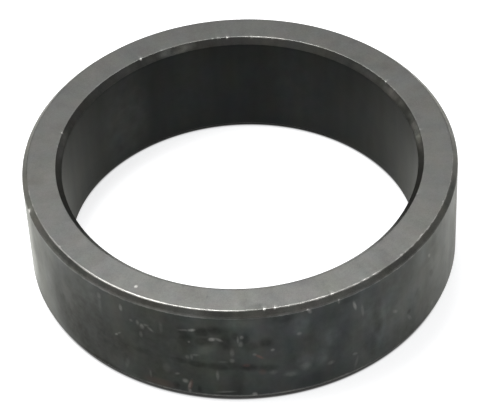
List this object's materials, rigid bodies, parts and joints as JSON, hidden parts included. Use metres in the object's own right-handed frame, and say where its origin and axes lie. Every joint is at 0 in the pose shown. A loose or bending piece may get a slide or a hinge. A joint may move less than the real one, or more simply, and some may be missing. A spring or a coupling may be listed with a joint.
{
  "type": "spacer sleeve",
  "caption": "Plain turned steel sleeve with a chamfered bore. It slides over a shaft and keeps two neighbouring parts a fixed distance apart.",
  "frame": {"origin": "middle of the lower end face, on the bore's axis, which is where the sleeve rests", "axes": "+Z along the bore from the lower end face to the upper one; the sleeve is the same all round, so X and Y are free"},
  "size_m": [0.11, 0.11, 0.031],
  "materials": {
    "blackened_steel": "satin"
  },
  "bodies": {
    "root": {"spacer_sleeve": "blackened_steel"}
  },
  "joints": []
}
